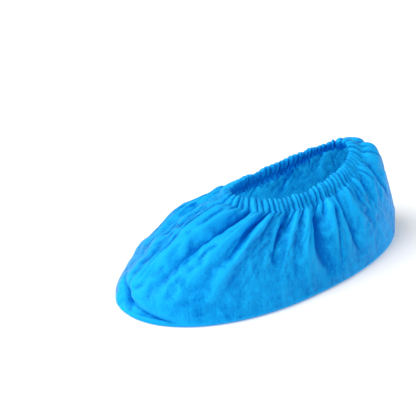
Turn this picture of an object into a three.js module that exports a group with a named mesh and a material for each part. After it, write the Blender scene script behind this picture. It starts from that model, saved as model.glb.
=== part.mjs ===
// A disposable shoe cover: one thin sheet of blue nonwoven film cloth, folded into a pouch and welded up the
// toe and the heel, with its mouth turned over an elastic band that draws it into fine gathers. It stands open
// on its flat sole, as it does over a shoe. Millimetres, +Z up, the toe towards -Y, the origin on the floor
// under the middle of the sole.
import * as THREE from 'three';

// ---- Driving dimensions ----

// The sole's outline: an oval a little wider towards the toe, with a squarer heel, and its edge's bend.
const SOLE = { length: 300, width: 150, taper: 0.14, toeRound: 1.0, heelRound: 0.86, bend: 3 };

// The mouth's top line: an oval set back towards the heel, high at its back and dipping at its sides.
const MOUTH = { centre: 32, halfLength: 68, halfWidth: 30, frontHeight: 78, backHeight: 91, sideDip: 11 };

// The wall's thickness, and how far it bellies out between the sole and the hem: 1 is straight, 2 is round.
const WALL = { thickness: 1.2, toeFullness: 1.8, sideFullness: 1.4, heelFullness: 1.9 };

// The hem: the cloth's edge turned over the elastic. It leans outwards on its way down, by more degrees at the
// mouth's ends than at its sides, and the wall's top edge stands up into it.
const HEM = { height: 11, endLean: 60, sideLean: 22, cloth: 1.0, slot: 3, gathers: 72, gatherDepth: 1.2 };
const WALL_TOP = 8;
const ELASTIC = { top: 3.4, foot: 7.4, thickness: 0.8 };

// How finely each surface is cut into facets.
const FACETS = { around: 104, up: 12, perGather: 2, elastic: 48 };

// The main folds of the wall. Each runs down from the hem at one bearing to its foot at another, in degrees
// round the cover from the toe, and is that many degrees wide to each side. Depth is in millimetres, negative
// for a valley. Foot is where it dies out, as a share of the way up the wall.
const FOLDS = [
  { from: 4, to: 8, hemWidth: 8, footWidth: 12, depth: 2.5, foot: 0.15 },
  { from: 28, to: 13, hemWidth: 7, footWidth: 12, depth: -5.0, foot: 0.18 },
  { from: 42, to: 27, hemWidth: 6, footWidth: 8, depth: 2.5, foot: 0.12 },
  { from: 45, to: 42, hemWidth: 5, footWidth: 6, depth: -5.0, foot: 0.40 },
  { from: 53, to: 41, hemWidth: 6, footWidth: 9, depth: 5.0, foot: 0.15 },
  { from: 62, to: 68, hemWidth: 6, footWidth: 8, depth: -7.0, foot: 0.35 },
  { from: 75, to: 78, hemWidth: 7, footWidth: 8, depth: 3.0, foot: 0.30 },
  { from: 87, to: 95, hemWidth: 6, footWidth: 8, depth: -6.0, foot: 0.18 },
  { from: 97, to: 103, hemWidth: 6, footWidth: 6, depth: 3.0, foot: 0.30 },
  { from: 106, to: 112, hemWidth: 6, footWidth: 8, depth: -5.5, foot: 0.18 },
  { from: 134, to: 126, hemWidth: 8, footWidth: 9, depth: -3.0, foot: 0.45 },
  { from: 172, to: 176, hemWidth: 36, footWidth: 40, depth: 5.0, foot: 0.40 },
  { from: 217, to: 226, hemWidth: 8, footWidth: 9, depth: -4.0, foot: 0.40 },
  { from: 246, to: 243, hemWidth: 7, footWidth: 8, depth: -6.0, foot: 0.20 },
  { from: 259, to: 256, hemWidth: 6, footWidth: 7, depth: 3.0, foot: 0.35 },
  { from: 273, to: 269, hemWidth: 7, footWidth: 8, depth: -5.5, foot: 0.22 },
  { from: 297, to: 302, hemWidth: 7, footWidth: 9, depth: -6.5, foot: 0.30 },
  { from: 310, to: 322, hemWidth: 6, footWidth: 9, depth: 3.5, foot: 0.15 },
  { from: 338, to: 343, hemWidth: 24, footWidth: 32, depth: -5.0, foot: 0.05 },
];

// The tuck at the bottom of the toe weld, where the pouch's corner is pinched in. Its height and half height
// are shares of the way up the wall.
const TUCK = { bearing: 8, halfWidth: 10, height: 0.2, halfHeight: 0.13, depth: 5 };

const CLOTH_BLUE = 0x0c8ee6;
const ELASTIC_WHITE = 0xe8ecef;

// ---- Lines that the surfaces share ----

const DEGREE = Math.PI / 180;
const TURN = 2 * Math.PI;

// A number raised to a power with its sign kept, for rounded outlines.
const signedPower = (value, power) => Math.sign(value) * Math.abs(value) ** power;

// A smooth hill from 1 at zero to 0 at plus or minus one.
const hill = (share) => (Math.abs(share) < 1 ? Math.cos(share * Math.PI / 2) ** 2 : 0);

// A value that the mouth's ends and its sides have differently, at a bearing in radians round from the toe.
const endsAndSides = (ends, sides, bearing) => sides + (ends - sides) * Math.cos(bearing) ** 2;

// The sole's outline at a bearing, where the wall starts.
function soleEdge(bearing) {
  const along = Math.cos(bearing);
  const across = Math.sin(bearing);
  const round = along > 0 ? SOLE.toeRound : SOLE.heelRound;
  return new THREE.Vector3(
    SOLE.width / 2 * signedPower(across, round) * (1 + SOLE.taper * along),
    -SOLE.length / 2 * signedPower(along, round),
    SOLE.bend,
  );
}

// The mouth's top line at a bearing.
function mouthLine(bearing) {
  const back = (1 - Math.cos(bearing)) / 2;
  const rise = MOUTH.frontHeight + (MOUTH.backHeight - MOUTH.frontHeight) * back;
  return new THREE.Vector3(
    MOUTH.halfWidth * Math.sin(bearing),
    MOUTH.centre - MOUTH.halfLength * Math.cos(bearing),
    rise - MOUTH.sideDip * Math.sin(bearing) ** 2,
  );
}

// A point of the hem's section, measured outwards across the hem and down along it from the mouth's top line.
function atHem(bearing, outwards, down) {
  const lean = endsAndSides(HEM.endLean, HEM.sideLean, bearing) * DEGREE;
  const level = new THREE.Vector3(
    Math.sin(bearing) / MOUTH.halfWidth,
    -Math.cos(bearing) / MOUTH.halfLength,
    0,
  ).normalize();
  const point = mouthLine(bearing);
  point.addScaledVector(level, outwards * Math.cos(lean) + down * Math.sin(lean));
  point.z += outwards * Math.sin(lean) - down * Math.cos(lean);
  return point;
}

// Bearings that divide the mouth's line into equal lengths.
function evenBearings(count) {
  const steps = 2880;
  const lengths = [0];
  for (let i = 1; i <= steps; i += 1) {
    const before = mouthLine((i - 1) / steps * TURN);
    const after = mouthLine(i / steps * TURN);
    lengths.push(lengths[i - 1] + before.distanceTo(after));
  }
  const bearings = [];
  let step = 0;
  for (let i = 0; i < count; i += 1) {
    const wanted = lengths[steps] * i / count;
    while (lengths[step + 1] < wanted) step += 1;
    const share = (wanted - lengths[step]) / (lengths[step + 1] - lengths[step]);
    bearings.push((step + share) / steps * TURN);
  }
  return bearings;
}

// ---- The wall ----

// The wall without its folds, at a bearing and a share of the way up it.
function plainWall(bearing, way) {
  const foot = soleEdge(bearing);
  const top = atHem(bearing, WALL.thickness / 2, HEM.height);
  const endFullness = Math.cos(bearing) > 0 ? WALL.toeFullness : WALL.heelFullness;
  const fullness = endsAndSides(endFullness, WALL.sideFullness, bearing);
  const upwards = Math.max(Math.sin(way * Math.PI / 2), 0) ** (2 / fullness);
  const inwards = 1 - Math.max(Math.cos(way * Math.PI / 2), 0) ** (2 / fullness);
  return new THREE.Vector3(
    foot.x + (top.x - foot.x) * inwards,
    foot.y + (top.y - foot.y) * inwards,
    foot.z + (top.z - foot.z) * upwards,
  );
}

// The plain wall's outward direction, from its slopes along and across.
function wallOutward(bearing, way) {
  const step = 0.01;
  const low = Math.max(way - step, 0);
  const high = Math.min(way + step, 1);
  const upwards = plainWall(bearing, high).sub(plainWall(bearing, low));
  const along = plainWall(bearing + step, way).sub(plainWall(bearing - step, way));
  return along.cross(upwards).normalize();
}

// How far the folds and the toe's tuck push the wall outwards.
function foldDepth(bearing, way) {
  const turnFrom = (degrees) => ((bearing / DEGREE - degrees + 540) % 360) - 180;
  let depth = 0;
  for (const fold of FOLDS) {
    const down = Math.min((1 - way) / (1 - fold.foot), 1);
    const middle = fold.from + (fold.to - fold.from) * down;
    const width = fold.hemWidth + (fold.footWidth - fold.hemWidth) * down;
    const strength = Math.min(1, down * 4) * Math.cos(down * Math.PI / 2);
    depth += fold.depth * strength * hill(turnFrom(middle) / width);
  }
  const tuck = hill(turnFrom(TUCK.bearing) / TUCK.halfWidth) * hill((way - TUCK.height) / TUCK.halfHeight);
  return depth - TUCK.depth * tuck;
}

// A ring of points, one at each bearing.
function ring(pointAt) {
  return Array.from({ length: FACETS.around }, (_, i) => pointAt(i / FACETS.around * TURN));
}

// The wall's face at a share of the way up it, folds and all, set in from its outside.
function wallRing(way, inset) {
  return ring((bearing) => {
    const outwards = foldDepth(bearing, way) - inset;
    return plainWall(bearing, way).addScaledVector(wallOutward(bearing, way), outwards);
  });
}

// The sole's outline drawn in towards its middle, at a height.
function soleRing(drawnIn, height) {
  return ring((bearing) => {
    const outward = wallOutward(bearing, 0).setZ(0).normalize();
    return soleEdge(bearing).addScaledVector(outward, -drawnIn).setZ(height);
  });
}

// ---- Meshes ----

// A closed surface through a stack of rings, each joined to the next. The last ring joins the first, or else
// each end is closed with a fan to a middle point.
function surfaceThrough(rings, middles) {
  const count = rings[0].length;
  const points = rings.flat();
  const triangles = [];
  const bands = middles ? rings.length - 1 : rings.length;
  for (let r = 0; r < bands; r += 1) {
    const next = (r + 1) % rings.length;
    for (let i = 0; i < count; i += 1) {
      const j = (i + 1) % count;
      const [a, b] = [r * count + i, r * count + j];
      const [c, d] = [next * count + j, next * count + i];
      triangles.push(a, b, c, a, c, d);
    }
  }
  if (middles) {
    const first = points.push(middles[0]) - 1;
    const last = points.push(middles[1]) - 1;
    for (let i = 0; i < count; i += 1) {
      const j = (i + 1) % count;
      triangles.push(first, j, i, last, bands * count + i, bands * count + j);
    }
  }
  const geometry = new THREE.BufferGeometry().setFromPoints(points);
  geometry.setIndex(triangles);
  geometry.computeVertexNormals();
  return geometry;
}

// The sheet: sole and wall in one, an open pouch of even thickness.
function clothSheet() {
  const { thickness } = WALL;
  const rounding = SOLE.bend * 0.3;
  const outside = [soleRing(SOLE.bend, 0), soleRing(rounding, rounding)];
  const inside = [soleRing(SOLE.bend, thickness), soleRing(rounding + thickness, rounding + thickness * 0.7)];
  for (let k = 0; k <= FACETS.up; k += 1) {
    outside.push(wallRing(k / FACETS.up, 0));
    inside.push(wallRing(k / FACETS.up, thickness));
  }
  outside.push(ring((bearing) => atHem(bearing, thickness / 2, WALL_TOP)));
  inside.push(ring((bearing) => atHem(bearing, -thickness / 2, WALL_TOP)));
  const middles = [new THREE.Vector3(0, 0, 0), new THREE.Vector3(0, 0, thickness)];
  return surfaceThrough([...outside, ...inside.reverse()], middles);
}

// A closed band round the mouth. Its section is a list of points, each outwards and down, at a ripple that
// goes from 0 to 1 and back in each gather.
function mouthBand(count, gathers, sectionAt) {
  const sections = evenBearings(count).map((bearing, i) => {
    const ripple = (1 - Math.cos(i / count * gathers * TURN)) / 2;
    return sectionAt(ripple).map(([outwards, down]) => atHem(bearing, outwards, down));
  });
  const rings = sections[0].map((_, k) => sections.map((section) => section[k]));
  return surfaceThrough(rings, null);
}

// The gathered hem: cloth turned over the elastic, open below, bunched outwards and inwards at each gather.
function gatheredHem() {
  const { height, cloth, slot, gathers, gatherDepth } = HEM;
  const shoulder = { half: 1.7, down: 1.2 };
  const ceiling = { half: 0.9, down: 2.6 };
  return mouthBand(gathers * FACETS.perGather, gathers, (ripple) => {
    const bunch = ripple * gatherDepth;
    const outer = slot / 2 + cloth + bunch;
    const inner = slot / 2 + bunch;
    const top = shoulder.half + bunch * 0.6;
    return [
      [outer, height],
      [top, shoulder.down],
      [0, 0],
      [-top, shoulder.down],
      [-outer, height],
      [-inner, height],
      [-ceiling.half, ceiling.down],
      [ceiling.half, ceiling.down],
      [inner, height],
    ];
  });
}

// The elastic band inside the hem, standing on edge.
function elasticBand() {
  const half = ELASTIC.thickness / 2;
  const { top, foot } = ELASTIC;
  return mouthBand(FACETS.elastic, 0, () => [[half, foot], [half, top], [-half, top], [-half, foot]]);
}

// ---- The shoe cover ----

const cloth = new THREE.MeshStandardMaterial({ color: CLOTH_BLUE, roughness: 0.45, metalness: 0 });
const rubber = new THREE.MeshStandardMaterial({ color: ELASTIC_WHITE, roughness: 0.7, metalness: 0 });

function piece(name, geometry, material) {
  const mesh = new THREE.Mesh(geometry, material);
  mesh.name = name;
  return mesh;
}

const shoeCover = new THREE.Group();
shoeCover.add(
  piece('cloth_sheet', clothSheet(), cloth),
  piece('gathered_hem', gatheredHem(), cloth),
  piece('elastic_band', elasticBand(), rubber),
);

export default shoeCover;
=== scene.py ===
import math

import bpy
import numpy as np
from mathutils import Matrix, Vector, noise


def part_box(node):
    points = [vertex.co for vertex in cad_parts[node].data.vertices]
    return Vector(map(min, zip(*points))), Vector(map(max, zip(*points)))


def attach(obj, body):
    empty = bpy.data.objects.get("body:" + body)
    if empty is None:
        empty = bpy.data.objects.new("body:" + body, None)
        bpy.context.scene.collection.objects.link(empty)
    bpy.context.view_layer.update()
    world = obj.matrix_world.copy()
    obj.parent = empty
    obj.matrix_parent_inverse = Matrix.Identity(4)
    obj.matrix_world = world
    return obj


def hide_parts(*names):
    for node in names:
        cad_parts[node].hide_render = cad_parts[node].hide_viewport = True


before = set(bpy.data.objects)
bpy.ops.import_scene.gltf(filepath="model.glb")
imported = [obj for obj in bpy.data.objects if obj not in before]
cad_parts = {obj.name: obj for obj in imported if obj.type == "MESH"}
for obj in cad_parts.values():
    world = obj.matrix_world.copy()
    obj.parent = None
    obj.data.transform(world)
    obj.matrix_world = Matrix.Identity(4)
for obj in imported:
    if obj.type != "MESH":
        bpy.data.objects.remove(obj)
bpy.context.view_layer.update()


# ---- The pouch ----
# One sheet of blue nonwoven with a film face, folded under the sole and welded up the toe and the heel. The
# elastic gathers its top, the gathers merge into pleats and folds on their way down, and its spare cloth
# crumples. It is drawn as a single surface, because the real cloth is only about 0.2 mm thick.

# The pouch and the hem are worked out in millimetres. A bearing goes round from the toe, and a way is the
# share of the way up the wall. The sole is an oval, a little wider towards the toe, with a bend at its edge.
# Round is 1 for an oval end and less for a squarer one.
sheet_low, sheet_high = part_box("cloth_sheet")
LENGTH = (sheet_high.y - sheet_low.y) * 1000
WIDTH = 150
TAPER = 0.14
TOE_ROUND = 1.0
HEEL_ROUND = 0.86
BEND = 3

# The mouth's top line: an oval set back towards the heel, high at its back and dipping at its sides.
MOUTH_CENTRE = 32
MOUTH_LENGTH = 68
MOUTH_WIDTH = 30
MOUTH_FRONT = 78
MOUTH_BACK = 91
MOUTH_DIP = 11

# How far the wall bellies out: 1 is straight and 2 is round.
TOE_FULL = 1.8
SIDE_FULL = 1.4
HEEL_FULL = 1.9

# The hem leans out on its way down, by these degrees at the mouth's ends and its sides. Its foot stands this
# far out from the mouth's line. The slim part of that is the same all round, and the two ends keep only this
# share of the rest.
HEM_HEIGHT = 11
END_LEAN = 60
SIDE_LEAN = 22
HEM_FOOT = 3.6
HEM_SLIM = 1.1
END_FLARE = 0.2

# The grid that all of the cloth is drawn on: its columns go round the mouth and its rows go up the wall.
GATHERS = 72
PER_GATHER = 12
COLUMNS = GATHERS * PER_GATHER
ROWS = 96


def ends_and_sides(ends, sides, bearing):
    """A value that the mouth's ends and its sides have differently."""
    return sides + (ends - sides) * np.cos(bearing) ** 2


def signed_power(value, power):
    return np.sign(value) * np.abs(value) ** power


def stack(x, y, z):
    return np.stack(np.broadcast_arrays(x, y, z), axis=-1).astype(float)


def unit(vectors):
    return vectors / np.maximum(np.linalg.norm(vectors, axis=-1, keepdims=True), 1e-9)


def smooth(value, start, end):
    share = np.clip((value - start) / (end - start), 0, 1)
    return share * share * (3 - 2 * share)


def sole_edge(bearing):
    along, across = np.cos(bearing), np.sin(bearing)
    rounding = np.where(along > 0, TOE_ROUND, HEEL_ROUND)
    x = WIDTH / 2 * signed_power(across, rounding) * (1 + TAPER * along)
    return stack(x, -LENGTH / 2 * signed_power(along, rounding), BEND)


def mouth_line(bearing):
    along, across = np.cos(bearing), np.sin(bearing)
    rise = MOUTH_FRONT + (MOUTH_BACK - MOUTH_FRONT) * (1 - along) / 2
    return stack(MOUTH_WIDTH * across, MOUTH_CENTRE - MOUTH_LENGTH * along, rise - MOUTH_DIP * across**2)


def hem_directions(bearing):
    """The way out across the hem, and the way down along it."""
    lean = np.radians(ends_and_sides(END_LEAN, SIDE_LEAN, bearing))[..., None]
    level = unit(stack(np.sin(bearing) / MOUTH_WIDTH, -np.cos(bearing) / MOUTH_LENGTH, 0))
    upright = np.array([0, 0, 1.0])
    return level * np.cos(lean) + upright * np.sin(lean), level * np.sin(lean) - upright * np.cos(lean)


def flared(bearing, outwards):
    """The hem's foot flares out less at the two ends, where it lies flatter."""
    flare = np.maximum(outwards - HEM_SLIM, 0)
    return np.minimum(outwards, HEM_SLIM) + flare * ends_and_sides(END_FLARE, 1, bearing)


def at_hem(bearing, outwards, down):
    """A point outwards across the hem and down along it from the mouth's top line."""
    across, along = hem_directions(bearing)
    set_out = mouth_line(bearing) + across * np.asarray(outwards)[..., None]
    return set_out + along * np.asarray(down)[..., None]


def plain_wall(bearing, way):
    foot, top = sole_edge(bearing), at_hem(bearing, flared(bearing, HEM_FOOT), HEM_HEIGHT)
    full = ends_and_sides(np.where(np.cos(bearing) > 0, TOE_FULL, HEEL_FULL), SIDE_FULL, bearing)
    upwards = np.maximum(np.sin(way * np.pi / 2), 0) ** (2 / full)
    inwards = 1 - np.maximum(np.cos(way * np.pi / 2), 0) ** (2 / full)
    return foot + (top - foot) * stack(inwards, inwards, upwards)


def mouth_bearings(places):
    """The bearings at shares of the way round the mouth, by length."""
    fine = np.linspace(0, 2 * np.pi, 5761)
    steps = np.linalg.norm(np.diff(mouth_line(fine), axis=0), axis=1)
    run = np.concatenate([[0], np.cumsum(steps)])
    return np.interp(places * run[-1], run, fine)


def outward(points):
    """The outward direction at each point of a grid whose rows go up and whose columns go round."""
    along = np.roll(points, -1, axis=1) - np.roll(points, 1, axis=1)
    return unit(np.cross(along, np.gradient(points, axis=0)))


def down_from_top(points):
    """How far each point lies below its column's top, along the cloth."""
    steps = np.linalg.norm(np.diff(points, axis=0), axis=-1)
    below = np.cumsum(steps[::-1], axis=0)[::-1]
    return np.concatenate([below, np.zeros((1, points.shape[1]))])


# The main folds. Each runs down from the hem at one bearing to its foot at another, in degrees, and is that
# many degrees wide to each side. Depth is negative for a valley. Sharp is 0 for a round fold and 1 for a
# creased one. Skew moves its steep side round: +1 is steep on the side of larger bearings. Foot is the way
# where it dies out.
FOLDS = [
    # from, to, hem width, foot width, depth, sharp, skew, foot
    (5, 7, 7, 12, 3.0, 0.3, 0.0, 0.15),
    (17, 14, 6, 10, 2.5, 0.3, 0.0, 0.30),
    (30, 11, 7, 12, -9.0, 0.5, 0.3, 0.15),
    (40, 25, 6, 8, 3.5, 0.5, 0.0, 0.10),
    (46, 42, 4, 6, -9.0, 0.7, 0.3, 0.45),
    (53, 40, 6, 9, 7.0, 0.6, 0.3, 0.12),
    (62, 68, 5, 8, -12.0, 0.7, -0.3, 0.35),
    (70, 74, 5, 8, 4.0, 0.4, 0.0, 0.20),
    (79, 85, 5, 7, 5.0, 0.4, 0.0, 0.20),
    (86, 94, 5, 7, -14.0, 0.9, -0.4, 0.15),
    (96, 102, 5, 6, 6.0, 0.4, 0.0, 0.25),
    (105, 110, 5, 7, -12.0, 0.9, -0.4, 0.18),
    (114, 118, 5, 8, 3.0, 0.3, 0.0, 0.30),
    (123, 120, 4, 6, -5.0, 0.6, 0.0, 0.55),
    (136, 127, 6, 9, -5.0, 0.6, 0.2, 0.45),
    (150, 145, 5, 8, -3.5, 0.6, 0.2, 0.50),
    (172, 176, 36, 40, 5.0, 0.0, 0.0, 0.40),
    (168, 165, 4, 6, -3.0, 0.5, 0.0, 0.60),
    (199, 205, 5, 8, -4.5, 0.5, 0.0, 0.55),
    (217, 226, 6, 9, -7.0, 0.6, 0.2, 0.40),
    (233, 238, 6, 8, 3.5, 0.3, 0.0, 0.30),
    (246, 243, 6, 8, -9.0, 0.8, -0.4, 0.20),
    (259, 256, 6, 7, 4.0, 0.3, 0.0, 0.35),
    (273, 269, 6, 8, -9.0, 0.8, 0.4, 0.22),
    (286, 284, 5, 7, 3.0, 0.3, 0.0, 0.30),
    (297, 302, 6, 9, -10.0, 0.7, 0.2, 0.30),
    (310, 322, 6, 9, 5.0, 0.5, 0.0, 0.15),
    (328, 336, 5, 8, -5.0, 0.6, 0.0, 0.40),
    (338, 343, 24, 32, -5.0, 0.0, 0.0, 0.05),
]


def fold_depth(bearing, way, below):
    """How far the main folds stand out, at a distance below the hem's foot."""
    degrees = np.degrees(bearing)
    depth = np.zeros(np.broadcast(bearing, way).shape)
    for start, end, hem_width, foot_width, size, sharp, skew, foot in FOLDS:
        down = np.clip((1 - way) / (1 - foot), 0, 1)
        aside = (degrees - start - (end - start) * down + 540) % 360 - 180
        width = (hem_width + (foot_width - hem_width) * down) * (1 - skew * np.sign(aside))
        share = np.clip(1 - np.abs(aside) / width, 0, 1)
        hill = (1 - sharp) * np.sin(share * np.pi / 2) ** 2 + sharp * share**1.6
        depth += size * smooth(below, -7, 14) * np.cos(down * np.pi / 2) * hill
    return depth


# The gathers: each is a rounded ridge between creased valleys. They are uneven, and they merge by twos and
# fours into wider pleats on their way down from the hem.
rng = np.random.default_rng(7)


def smooth_random(count, size):
    """An even run of random values round the mouth, smoothly joined, one for each column."""
    values = rng.uniform(-size, size, count)
    place = np.arange(COLUMNS) / COLUMNS * count
    left = np.floor(place).astype(int)
    share = smooth(place - left, 0, 1)
    return values[left % count] * (1 - share) + values[(left + 1) % count] * share


# How far they stand out, singly, by twos and by fours, the middle height of a ridge, and where each lies. The
# shift moves the columns, so that the gathers are unevenly spaced.
GATHER_OUT = 2.2
PAIR_OUT = 3.4
FOUR_OUT = 4.8
RIDGE_MIDDLE = 0.6
GATHER_PLACE = np.arange(COLUMNS) / PER_GATHER
SHIFT = PER_GATHER * (smooth_random(GATHERS, 0.1) + smooth_random(36, 0.27) + smooth_random(9, 0.8))
GATHER_SIZE = 1 + smooth_random(GATHERS, 0.55)
PAIR_SIZE = 1 + smooth_random(36, 0.7)
PAIR_REACH = 26 + smooth_random(36, 14)
FOUR_SIZE = 1 + smooth_random(18, 0.7)
FOUR_REACH = 60 + smooth_random(18, 30)


def ridges(place):
    """Rounded ridges between creased valleys."""
    return np.abs(np.sin(place * np.pi)) ** 0.65


def small_gathers(down):
    """How far each gather stands out at a distance below the hem's foot."""
    return GATHER_OUT * GATHER_SIZE * ridges(GATHER_PLACE) * (1 - smooth(down, -6, 16))


def pleats(down):
    """How far the merged pleats stand out at a distance below the hem's foot."""
    pair = PAIR_OUT * PAIR_SIZE * (ridges(GATHER_PLACE / 2) - RIDGE_MIDDLE) * smooth(down, -7, 8)
    four = FOUR_OUT * FOUR_SIZE * (ridges(GATHER_PLACE / 4) - RIDGE_MIDDLE) * smooth(down, -4, 16)
    return pair * (1 - smooth(down, 9, PAIR_REACH)) + four * (1 - smooth(down, 18, FOUR_REACH))


def crumple(points, size, seed):
    """Soft unevenness of a given size, from -1 to 1."""
    shift = Vector((seed * 17.3, seed * 5.1, seed * 9.7))
    flat = points.reshape(-1, 3) / size
    return np.array([noise.noise(Vector(p) + shift) for p in flat]).reshape(points.shape[:-1])


def grid_mesh(name, points, middle=None):
    """A mesh through a grid whose rows go up and whose columns go round. A middle closes its first row."""
    rows, columns = points.shape[:2]
    verts = (points.reshape(-1, 3) / 1000).tolist()
    faces = []
    for r in range(rows - 1):
        for c in range(columns):
            d = (c + 1) % columns
            faces.append((r * columns + c, r * columns + d, (r + 1) * columns + d, (r + 1) * columns + c))
    if middle is not None:
        verts.append([value / 1000 for value in middle])
        faces += [(len(verts) - 1, (c + 1) % columns, c) for c in range(columns)]
    mesh = bpy.data.meshes.new(name)
    mesh.from_pydata(verts, [], faces)
    piece = bpy.data.objects.new(name, mesh)
    bpy.context.scene.collection.objects.link(piece)
    for polygon in mesh.polygons:
        polygon.use_smooth = True
    return piece


# The pucker on the toe, where the cloth's two layers meet and are tucked in, with small rays round it, and
# the crease that runs from it down to the sole's edge. Its place and the crease's end are each a bearing in
# degrees and a height. Below the crease the cloth is tucked under.
PUCKER = (-4, 17)
PUCKER_SIZE = 6
PUCKER_DEPTH = 7
RAY_HEIGHT = 2
RAY_PLACE = 12
RAY_WIDTH = 8
CREASE_END = (31, 3)
CREASE_DEPTH = 4
CREASE_WIDTH = 2.5
TUCKED_UNDER = 4.5


def pucker_depth(points, bearing):
    """How far the toe's pucker, its rays and its crease move the wall. Sideways lengths are level ones."""
    centre = sole_edge(np.radians(PUCKER[0]))
    aside = np.where(np.cos(bearing) > 0, points[..., 0] - centre[0], 999)
    above = points[..., 2] - PUCKER[1]
    reach = np.hypot(aside, above)
    turn = np.arctan2(above, aside)
    pit = -PUCKER_DEPTH * np.exp(-((np.hypot(aside / 1.5, above + aside / 3) / PUCKER_SIZE) ** 2))
    rays = RAY_HEIGHT * np.abs(np.sin(turn * 3.5 + 0.6)) ** 0.6
    rays = rays * np.exp(-(((reach - RAY_PLACE) / RAY_WIDTH) ** 2))
    end = sole_edge(np.radians(CREASE_END[0]))[0] - centre[0]
    drop = CREASE_END[1] - PUCKER[1]
    length = math.hypot(end, drop)
    along = (aside * end + above * drop) / length
    over = (above * end - aside * drop) / length
    present = smooth(along, -4, 4) * (1 - smooth(along, length - 12, length + 6))
    crease = -CREASE_DEPTH * np.exp(-np.abs(over) / CREASE_WIDTH)
    under = -TUCKED_UNDER * smooth(-over, 0, 2) * (1 - smooth(-over, 6, 16))
    return pit + rays + present * (crease + under)


# The welds up the toe and the heel: a narrow pinched groove with a low ridge beside it. Each has a bearing in
# degrees and the way where it starts.
WELDS = [(2, 0.25), (181, 0.0)]
GROOVE_DEPTH = 1.2
GROOVE_WIDTH = 1.2
WELD_RIDGE_HEIGHT = 1.0
WELD_RIDGE_PLACE = 3.2
WELD_RIDGE_WIDTH = 1.4


def weld_depth(bearing, way, points):
    """How far the welds' grooves and ridges move the wall."""
    depth = 0
    for place, foot in WELDS:
        line = mouth_line(np.radians(place))[0]
        aside = np.abs(points[..., 0] - line - 2 * (1 - way))
        here = (np.cos(bearing - np.radians(place)) > 0.5) * smooth(way, foot, foot + 0.1)
        here = here * (1 - smooth(way, 0.85, 1))
        ridge = WELD_RIDGE_HEIGHT * np.exp(-(((aside - WELD_RIDGE_PLACE) / WELD_RIDGE_WIDTH) ** 2))
        groove = GROOVE_DEPTH * np.exp(-((aside / GROOVE_WIDTH) ** 2))
        depth = depth + here * (ridge - groove)
    return depth


bearings = mouth_bearings((np.arange(COLUMNS) + SHIFT - SHIFT[0]) / COLUMNS)[None, :]
ways = np.linspace(0, 1, ROWS + 1)[:, None]
plain = plain_wall(bearings, ways)
below_hem = down_from_top(plain)
hem_across = hem_directions(bearings)[0]
TURN_TO_HEM = 0.88


def way_out(points):
    """The outward direction on the wall. Near the top it turns to the hem's own, so that the two meet."""
    square = outward(points)
    return unit(square + (hem_across - square) * smooth(ways, TURN_TO_HEM, 1)[..., None])


# The cloth's small unevenness, away from the hem and the sole: waves 30 mm across, creases in the film and
# dents 9 mm across. These are their heights.
WAVE_OUT = 1.2
FILM_CREASE_OUT = 0.4
DENT_OUT = 0.35
away = smooth(below_hem, 2, 20) * smooth(ways, 0, 0.12)
stands_out = fold_depth(bearings, ways, below_hem) + pleats(below_hem)
stands_out = stands_out + away * WAVE_OUT * crumple(plain, 30, 2)
stands_out += pucker_depth(plain, bearings) + weld_depth(bearings, ways, plain)
wall = plain + way_out(plain) * stands_out[..., None]


def finer(values):
    """A grid with a new row and column between each two, on smooth curves through the old ones."""
    between = (9 * (values + np.roll(values, -1, 1)) - np.roll(values, 1, 1) - np.roll(values, -2, 1)) / 16
    wide = np.stack([values, between], axis=2).reshape(values.shape[0], -1, 3)
    padded = np.concatenate([2 * wide[:1] - wide[1:2], wide, 2 * wide[-1:] - wide[-2:-1]])
    between = (9 * (padded[1:-2] + padded[2:-1]) - padded[:-3] - padded[3:]) / 16
    tall = np.empty((wide.shape[0] * 2 - 1, *wide.shape[1:]))
    tall[::2], tall[1::2] = wide, between
    return tall


# The wall's spare cloth is cut a little wider than its place, this many times as wide. It settles on a larger
# copy, this many times the size, where the solver moves such light cloth well. Reach is the furthest that a
# point may go. Low on the wall the cloth lies taut, and only this share of the movement is kept.
SPARE_ROUND = 1.04
LOUPE = 30
SETTLING_FRAMES = 25
REACH = 6
TAUT_SHARE = 0.3


def settle(shape):
    """Lets the wall's spare cloth crumple between its held foot and its held top, as a simulation of every
    fourth row and column on a larger copy. Gives back the settled wall at full fineness."""
    coarse = shape[::4, ::4]
    rows, columns = coarse.shape[:2]
    copy = grid_mesh("settling", coarse * LOUPE)
    copy.shape_key_add(name="Basis")
    cut = copy.shape_key_add(name="cut")
    wider = coarse * np.array([SPARE_ROUND, SPARE_ROUND, 1]) * LOUPE / 1000
    cut.data.foreach_set("co", wider.ravel())
    held = copy.vertex_groups.new(name="held")
    held.add(list(range(columns)) + list(range((rows - 1) * columns, rows * columns)), 1.0, "REPLACE")
    cloth = copy.modifiers.new("cloth", "CLOTH")
    cloth.settings.quality = 6
    cloth.settings.mass = 0.001
    cloth.settings.tension_stiffness = 80
    cloth.settings.compression_stiffness = 80
    cloth.settings.shear_stiffness = 20
    cloth.settings.bending_stiffness = 0.1
    cloth.settings.vertex_group_mass = "held"
    cloth.settings.rest_shape_key = cut
    cloth.settings.effector_weights.gravity = 0
    cloth.point_cache.frame_end = SETTLING_FRAMES
    for step in range(1, SETTLING_FRAMES + 1):
        bpy.context.scene.frame_set(step)
    seen = copy.evaluated_get(bpy.context.evaluated_depsgraph_get())
    moved = np.empty(rows * columns * 3)
    seen.data.vertices.foreach_get("co", moved)
    moved = moved.reshape(rows, columns, 3) * 1000 / LOUPE - coarse
    bpy.context.scene.frame_set(1)
    bpy.data.objects.remove(copy)
    moved *= TAUT_SHARE + (1 - TAUT_SHARE) * smooth(np.linspace(0, 1, rows)[:, None, None], 0.25, 0.6)
    reach = np.linalg.norm(moved, axis=-1, keepdims=True)
    return shape + finer(finer(moved * np.minimum(1, REACH / np.maximum(reach, 1e-6))))


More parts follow.
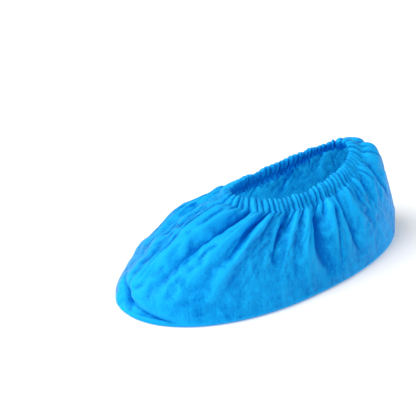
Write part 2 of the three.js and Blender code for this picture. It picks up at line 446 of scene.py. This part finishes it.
wall = settle(wall)
film_crease = np.clip(1 - np.abs(crumple(plain, 19, 1)) * 3, 0, 1)
dents = DENT_OUT * crumple(plain, 9, 3)
fine = small_gathers(below_hem) + away * (FILM_CREASE_OUT * film_crease + dents)
wall = wall + way_out(wall) * fine[..., None]

# The sole's rings: they go round the bend under the wall and then in to the middle, where the cloth lies just
# off the floor and has a few low bumps.
SOLE_LIFT = 0.4
SOLE_BUMP = 1.2
BEND_STEPS = 3
SOLE_STEPS = 7
foot_out = outward(plain)[0] * np.array([1, 1, 0])
edge = sole_edge(bearings)[0]
sole_rings = []
for step in range(1, BEND_STEPS + 1):
    turn = step / BEND_STEPS * math.pi / 2
    ring = edge - unit(foot_out) * BEND * (1 - math.cos(turn))
    ring[:, 2] = BEND * (1 - math.sin(turn))
    sole_rings.append(ring)
for step in range(1, SOLE_STEPS):
    ring = sole_rings[BEND_STEPS - 1] * (1 - step / SOLE_STEPS)
    ring[:, 2] = SOLE_LIFT + np.maximum(crumple(ring, 22, 5), 0) * SOLE_BUMP
    sole_rings.append(ring)

grid = np.concatenate([np.array(sole_rings[::-1]), wall])


def local_relief(points, across_columns, up_rows):
    """How far each point of a grid stands out from the mean of the points round it, in millimetres."""
    steps = range(-across_columns, across_columns + 1)
    mean = np.mean([np.roll(points, step, axis=1) for step in steps], axis=0)
    padded = np.pad(mean, ((up_rows, up_rows), (0, 0), (0, 0)), mode="edge")
    mean = np.mean([padded[step : step + len(points)] for step in range(2 * up_rows + 1)], axis=0)
    return np.sum((points - mean) * outward(points), axis=-1)


def keep_relief_for_shade(piece, relief_for_shade):
    """Stores the relief at each vertex, for the finish's painted shade: ridges are painted lighter and
    valleys darker.
    """
    layer = piece.data.attributes.new("relief_for_shade", "FLOAT", "POINT")
    values = np.zeros(len(piece.data.vertices))
    values[: relief_for_shade.size] = relief_for_shade.ravel()
    layer.data.foreach_set("value", values.astype(np.float32))


def flat_uv(piece, points):
    """Gives the piece UVs in millimetres of cloth: round it by one low row, and up it by each column."""
    rows, columns = points.shape[:2]
    girth = points[rows // 3]
    round_it = np.concatenate([[0], np.cumsum(np.linalg.norm(np.diff(girth, axis=0), axis=1))])
    closing = round_it[-1] + np.linalg.norm(girth[0] - girth[-1])
    climb = np.cumsum(np.linalg.norm(np.diff(points, axis=0), axis=-1), 0)
    up = np.concatenate([np.zeros((1, columns)), climb])
    layer = piece.data.uv_layers.new(name="cloth_mm")
    for polygon in piece.data.polygons:
        wraps = {v % columns for v in polygon.vertices} >= {0, columns - 1}
        for loop, v in zip(polygon.loop_indices, polygon.vertices):
            if v >= rows * columns:
                layer.data[loop].uv = (round_it[polygon.vertices[1] % columns], -40)
                continue
            r, c = divmod(v, columns)
            layer.data[loop].uv = (closing if wraps and c == 0 else round_it[c], up[r, c])


sheet = grid_mesh("pouch", grid, middle=(0, 0, SOLE_LIFT))
flat_uv(sheet, grid)
keep_relief_for_shade(sheet, local_relief(grid, across_columns=10, up_rows=4))


# ---- The gathered hem ----
# The sheet's own edge, turned over the elastic to the inside and welded down. Gathered, it puffs out between
# the creases all round the elastic, and its free edge hangs a little lower inside.

# The hem's section: how far across and down, and how far a gather puffs it outwards across and up.
HEM_SECTION = [
    # across, down, puff across, puff up
    (HEM_FOOT, 11.0, 1.0, 0.0),
    (2.6, 9.8, 1.0, 0.0),
    (1.9, 8.4, 1.0, 0.0),
    (1.4, 7.0, 0.95, 0.0),
    (1.1, 5.5, 0.9, 0.0),
    (0.9, 4.0, 0.85, 0.1),
    (0.8, 2.6, 0.75, 0.3),
    (0.7, 1.5, 0.6, 0.6),
    (0.4, 0.6, 0.3, 0.9),
    (0.0, 0.2, 0.0, 1.0),
    (-0.4, 0.6, -0.2, 0.9),
    (-0.7, 1.5, -0.35, 0.6),
    (-0.9, 2.8, -0.5, 0.3),
    (-1.0, 4.4, -0.6, 0.1),
    (-1.1, 6.2, -0.6, 0.0),
    (-1.0, 8.0, -0.6, 0.0),
    (-0.8, 9.8, -0.6, 0.0),
    (-0.7, 11.4, -0.6, 0.0),
    (-1.0, 13.2, -0.9, 0.0),
    (-1.4, 15.0, -1.2, 0.0),
]

# The rows before the top row are on the outside, where the pleats and folds run on up from the wall. Nearer
# the top line than this distance, their valleys stay at least this much outside the section, so that they are
# clear of the elastic. The gathers by twos puff the hem out this far.
HEM_TOP_ROW = 9
CLEAR_OF_ELASTIC = 9
LEAST_PUFF = 0.2
HEM_PAIR_OUT = 1.7

hem_rows = []
for row, (across, down, puff_across, puff_up) in enumerate(HEM_SECTION):
    below = np.full((1, COLUMNS), min(down - HEM_HEIGHT, 0))
    pair = HEM_PAIR_OUT * PAIR_SIZE * ridges(GATHER_PLACE / 2) * smooth(-below[0], 2, 8)
    size = small_gathers(below)[0] + pair
    out = flared(bearings[0], across) + puff_across * size
    if row < HEM_TOP_ROW:
        out = out + pleats(below)[0] + fold_depth(bearings, 1, below)[0]
        if down < CLEAR_OF_ELASTIC:
            out = np.maximum(out, flared(bearings[0], across + LEAST_PUFF))
    hem_rows.append(at_hem(bearings[0], out, down - puff_up * size))
hem_grid = np.array(hem_rows)
hem = grid_mesh("hem", hem_grid)
flat_uv(hem, hem_grid)
keep_relief_for_shade(hem, local_relief(hem_grid, across_columns=8, up_rows=0))


# ---- The cloth's finish ----
# Spunbonded polypropylene with a polyethylene film face: a bright blue with the film's soft gloss. It has a
# fine embossed rib and crinkles that catch the light. Its colour has painted sheen, random lighter patches,
# and painted shade, with ridges lighter and valleys darker. Light comes through it, so the inside isn't dark.


def linear(hex_colour):
    """An sRGB hex colour as linear RGBA."""
    channels = [int(hex_colour[i : i + 2], 16) / 255 for i in (1, 3, 5)]
    return [c / 12.92 if c <= 0.04045 else ((c + 0.055) / 1.055) ** 2.4 for c in channels] + [1]


def add_node(tree, kind, settings=(), links=()):
    """Adds a shader node with its settings, by attribute or by input, and its links, by input."""
    node = tree.nodes.new(kind)
    for key, value in dict(settings).items():
        if isinstance(key, str) and hasattr(node, key):
            setattr(node, key, value)
        else:
            node.inputs[key].default_value = value
    for key, source in dict(links).items():
        tree.links.new(source, node.inputs[key])
    return node


film_cloth = bpy.data.materials.new("film_faced_nonwoven")
film_cloth.use_nodes = True
tree = film_cloth.node_tree
tree.nodes.clear()
uv = add_node(tree, "ShaderNodeUVMap", {"uv_map": "cloth_mm"})
place = add_node(tree, "ShaderNodeTexCoord")
at = {"Vector": place.outputs["Object"]}

# The noises' scales are per metre and the rib's is per millimetre. The painted sheen's patches are about 14
# mm wide and drawn out upwards. Real fibres are far finer than a millimetre. They are drawn as clumps about 2
# mm across, as coarse as they need to be to show.
# Painted sheen: random lighter patches in the colour that stand in for the film's sheen. The same noise sets
# the roughness, which is higher in these patches.
streaks = add_node(tree, "ShaderNodeMapping", {"Scale": (1.0, 1.0, 0.4)}, at)
sheen_patches = add_node(
    tree,
    "ShaderNodeTexNoise",
    {"Scale": 70, "Detail": 6, "Roughness": 0.7, "Distortion": 0.8},
    {"Vector": streaks.outputs["Vector"]},
)
fibres = add_node(tree, "ShaderNodeTexNoise", {"Scale": 500, "Detail": 3, "Roughness": 0.7}, at)
# The fibres' grain and the painted sheen, together.
fibres_and_sheen = add_node(
    tree,
    "ShaderNodeMath",
    {"operation": "MULTIPLY_ADD", 1: 0.6},
    {0: fibres.outputs["Fac"], 2: sheen_patches.outputs["Fac"]},
)

# Painted shade: each millimetre that the cloth stands out from the cloth round it makes its colour lighter,
# so ridges are painted lighter and valleys darker. The fibres and the painted sheen are added to this.
relief_for_shade = add_node(tree, "ShaderNodeAttribute", {"attribute_name": "relief_for_shade"})
shade = add_node(
    tree,
    "ShaderNodeMath",
    {"operation": "MULTIPLY_ADD", 1: 0.24},
    {0: relief_for_shade.outputs["Fac"], 2: fibres_and_sheen.outputs[0]},
)
# The colour runs from a dark blue, the painted shade of the valleys, to a light blue, the painted light of
# the ridges and of the sheen's patches, with the fibres' grain between.
ramp = add_node(tree, "ShaderNodeValToRGB", {}, {"Fac": shade.outputs[0]})
ramp.color_ramp.elements[0].position = 0.5
ramp.color_ramp.elements[0].color = linear("#007CCC")
ramp.color_ramp.elements[1].position = 1.0
ramp.color_ramp.elements[1].color = linear("#1CC0F8")

# The embossed ribs are guessed to be about 1 mm apart. They are drawn 2.2 mm apart, as coarse as they need to
# be to show. The crinkles are about 26 mm apart.
rib = add_node(
    tree, "ShaderNodeTexWave", {"Scale": 0.14, "Distortion": 1.0, "Detail": 1}, {"Vector": uv.outputs["UV"]}
)
crinkles = add_node(
    tree,
    "ShaderNodeTexNoise",
    {"noise_type": "RIDGED_MULTIFRACTAL", "Scale": 38, "Detail": 3, "Roughness": 0.5},
    at,
)
grain = add_node(
    tree,
    "ShaderNodeMath",
    {"operation": "MULTIPLY_ADD", 1: 1.2},
    {0: fibres.outputs["Fac"], 2: rib.outputs["Fac"]},
)
fine_bump = add_node(
    tree, "ShaderNodeBump", {"Strength": 0.3, "Distance": 0.0003}, {"Height": grain.outputs[0]}
)
bump = add_node(
    tree,
    "ShaderNodeBump",
    {"Strength": 0.9, "Distance": 0.002},
    {"Height": crinkles.outputs["Fac"], "Normal": fine_bump.outputs["Normal"]},
)
gloss = add_node(
    tree,
    "ShaderNodeMapRange",
    {"From Min": 0.35, "From Max": 0.65, "To Min": 0.2, "To Max": 0.42},
    {"Value": sheen_patches.outputs["Fac"]},
)
surface = add_node(
    tree,
    "ShaderNodeBsdfPrincipled",
    {"IOR": 1.36, "Specular IOR Level": 0.4, "Specular Tint": linear("#50C0FF")},
    {"Base Color": ramp.outputs["Color"], "Roughness": gloss.outputs[0], "Normal": bump.outputs["Normal"]},
)
glow = add_node(
    tree,
    "ShaderNodeBsdfTranslucent",
    {},
    {"Color": ramp.outputs["Color"], "Normal": bump.outputs["Normal"]},
)

# The cloth is thin: this share of what is seen of it is light that came through from its other side.
LIGHT_THROUGH = 0.45
thin = add_node(
    tree,
    "ShaderNodeMixShader",
    {0: LIGHT_THROUGH},
    {1: surface.outputs["BSDF"], 2: glow.outputs["BSDF"]},
)
add_node(tree, "ShaderNodeOutputMaterial", {}, {"Surface": thin.outputs["Shader"]})

for piece, node in ((sheet, "cloth_sheet"), (hem, "gathered_hem")):
    piece.data.materials.append(film_cloth)
    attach(piece, "root")
    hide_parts(node)


# ---- The elastic ----
# A flat woven elastic of covered rubber threads, inside the hem, where it hardly shows. It keeps its modelled
# shape and gets a matt white finish, with ribs 0.8 mm apart.

elastic = bpy.data.materials.new("woven_elastic")
elastic.use_nodes = True
tree = elastic.node_tree
tree.nodes.clear()
place = add_node(tree, "ShaderNodeTexCoord")
cords = add_node(
    tree,
    "ShaderNodeTexWave",
    {"Scale": 400, "bands_direction": "Z"},
    {"Vector": place.outputs["Object"]},
)
bump = add_node(
    tree, "ShaderNodeBump", {"Strength": 0.5, "Distance": 0.0003}, {"Height": cords.outputs["Fac"]}
)
surface = add_node(
    tree,
    "ShaderNodeBsdfPrincipled",
    {"Base Color": linear("#E8ECEF"), "Roughness": 0.75},
    {"Normal": bump.outputs["Normal"]},
)
add_node(tree, "ShaderNodeOutputMaterial", {}, {"Surface": surface.outputs["BSDF"]})
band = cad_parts["elastic_band"]
for slot in band.material_slots:
    slot.material = elastic


# ---- The studio ----
# A plain pale floor of white paper, which glows a little as an overexposed backdrop does. A large soft light
# stands high on the left and a weaker one in front on the right. The camera looks down at the cover from its
# front right, and aims a little to its left and above its middle.

bpy.ops.object.select_all(action="DESELECT")
bpy.ops.mesh.primitive_plane_add(size=12, location=(0, 0, 0))
floor = bpy.context.object
floor.name = "floor"
paper = bpy.data.materials.new("white_paper")
paper.use_nodes = True
matt = paper.node_tree.nodes["Principled BSDF"]
matt.inputs["Base Color"].default_value = linear("#DADADA")
matt.inputs["Roughness"].default_value = 0.9
matt.inputs["Emission Color"].default_value = (1, 1, 1, 1)
matt.inputs["Emission Strength"].default_value = 0.15
floor.data.materials.append(paper)

AZIMUTH = math.radians(51.5)
ELEVATION = math.radians(26)
DISTANCE = 1.2
AIM_HEIGHT = 0.05
AIM_LEFT = 0.049
AIM_UP = 0.0048
level = Vector((math.sin(AZIMUTH), -math.cos(AZIMUTH), 0))
towards = level * math.cos(ELEVATION) + Vector((0, 0, math.sin(ELEVATION)))
right = Vector((math.cos(AZIMUTH), math.sin(AZIMUTH), 0))
up = towards.cross(right)
aim = Vector((0, 0, AIM_HEIGHT)) - right * AIM_LEFT + up * AIM_UP


def add_sun(name, place, strength, angle):
    """A sun that shines from its place towards the cover. Its angle in degrees softens its shadows."""
    lamp = bpy.data.lights.new(name, "SUN")
    lamp.energy = strength
    lamp.angle = math.radians(angle)
    holder = bpy.data.objects.new(name, lamp)
    holder.location = place
    holder.rotation_euler = (-Vector(place)).to_track_quat("-Z", "Y").to_euler()
    bpy.context.scene.collection.objects.link(holder)


add_sun("key", right * -0.9 + towards * 0.35 + Vector((0, 0, 0.75)), 4.4, 60)
add_sun("front", right * 0.8 + towards * 1.0 + Vector((0, 0, 0.5)), 1.1, 50)

world = bpy.data.worlds.new("studio")
world.use_nodes = True
world.node_tree.nodes["Background"].inputs["Color"].default_value = (1, 1, 1, 1)
world.node_tree.nodes["Background"].inputs["Strength"].default_value = 0.35
bpy.context.scene.world = world
bpy.context.scene.view_settings.view_transform = "Standard"

lens = bpy.data.cameras.new("camera")
lens.lens = 117
camera = bpy.data.objects.new("camera", lens)
camera.location = aim + towards * DISTANCE
camera.rotation_euler = (-towards).to_track_quat("-Z", "Y").to_euler()
bpy.context.scene.collection.objects.link(camera)
bpy.context.scene.camera = camera
